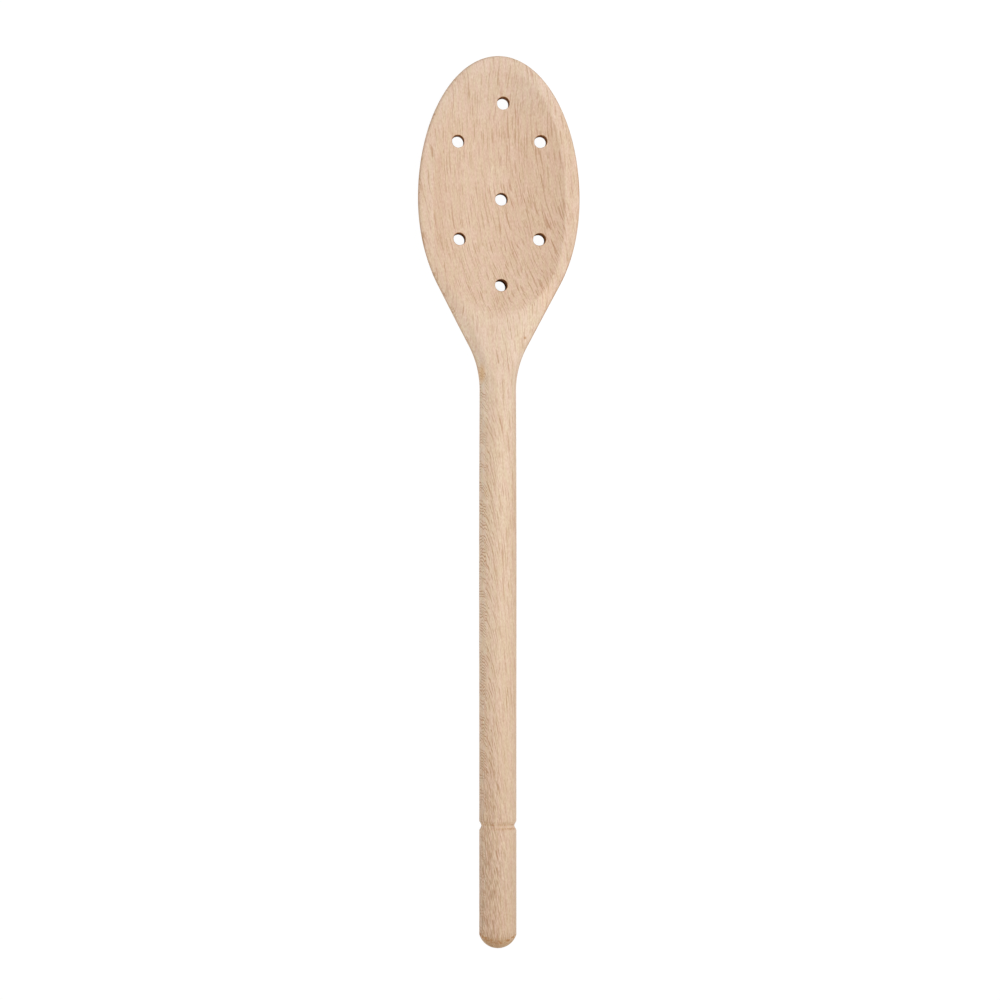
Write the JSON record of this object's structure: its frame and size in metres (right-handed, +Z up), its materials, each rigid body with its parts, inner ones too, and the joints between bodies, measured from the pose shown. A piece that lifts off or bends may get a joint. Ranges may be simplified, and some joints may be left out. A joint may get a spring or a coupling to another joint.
{
  "type": "perforated serving spoon",
  "caption": "One-piece beech serving spoon with a perforated oval bowl, a neck that blends into a long round handle, and a V groove near the domed butt.",
  "frame": {"origin": "on the table, under the middle of the spoon's length and width, with the spoon lying face up", "axes": "+Y along the handle from the butt to the tip of the head, +Z up out of the bowl, +X across the head to the right when it is seen from above with its tip away"},
  "size_m": [0.0546, 0.3, 0.0126],
  "materials": {
    "beech": "plain sanded beech, matt, unvarnished"
  },
  "bodies": {
    "root": {"spoon": "beech"}
  },
  "joints": []
}
